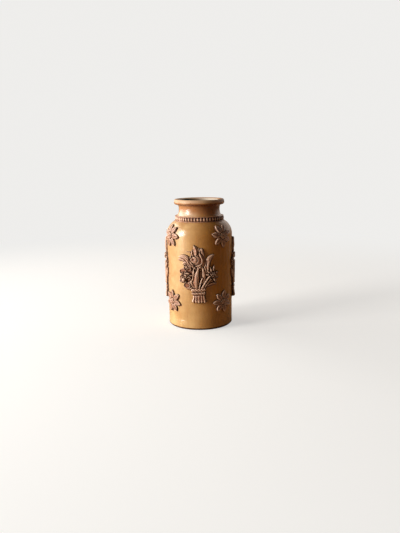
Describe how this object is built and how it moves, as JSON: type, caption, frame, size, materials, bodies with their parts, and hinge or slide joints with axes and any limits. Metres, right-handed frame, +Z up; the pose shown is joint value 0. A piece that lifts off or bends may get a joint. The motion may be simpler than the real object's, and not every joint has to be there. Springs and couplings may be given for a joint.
{
  "type": "tobacco jar",
  "caption": "Wide-mouthed salt-glazed stoneware jar with a rolled rim, a beaded collar at the neck, and applied posies and rosettes round its wall.",
  "frame": {"origin": "middle of the foot, on the surface that the jar stands on", "axes": "+Z up along the jar's axis, -Y towards the front posy"},
  "size_m": [0.0908, 0.0904, 0.16],
  "materials": {
    "body_glaze": "honey-tan salt glaze, glossy, with a fine orange-peel surface",
    "sprig_glaze": "dark mauve-brown dipped sprigs under the same salt glaze"
  },
  "bodies": {
    "root": {"jar_body": "body_glaze", "bead_collar": "sprig_glaze", "posy_front": "sprig_glaze", "posy_right": "sprig_glaze", "posy_back": "sprig_glaze", "posy_left": "sprig_glaze", "rosette_upper_front_right": "sprig_glaze", "rosette_upper_back_right": "sprig_glaze", "rosette_upper_back_left": "sprig_glaze", "rosette_upper_front_left": "sprig_glaze", "rosette_lower_front_right": "sprig_glaze", "rosette_lower_back_right": "sprig_glaze", "rosette_lower_back_left": "sprig_glaze", "rosette_lower_front_left": "sprig_glaze"}
  },
  "joints": []
}
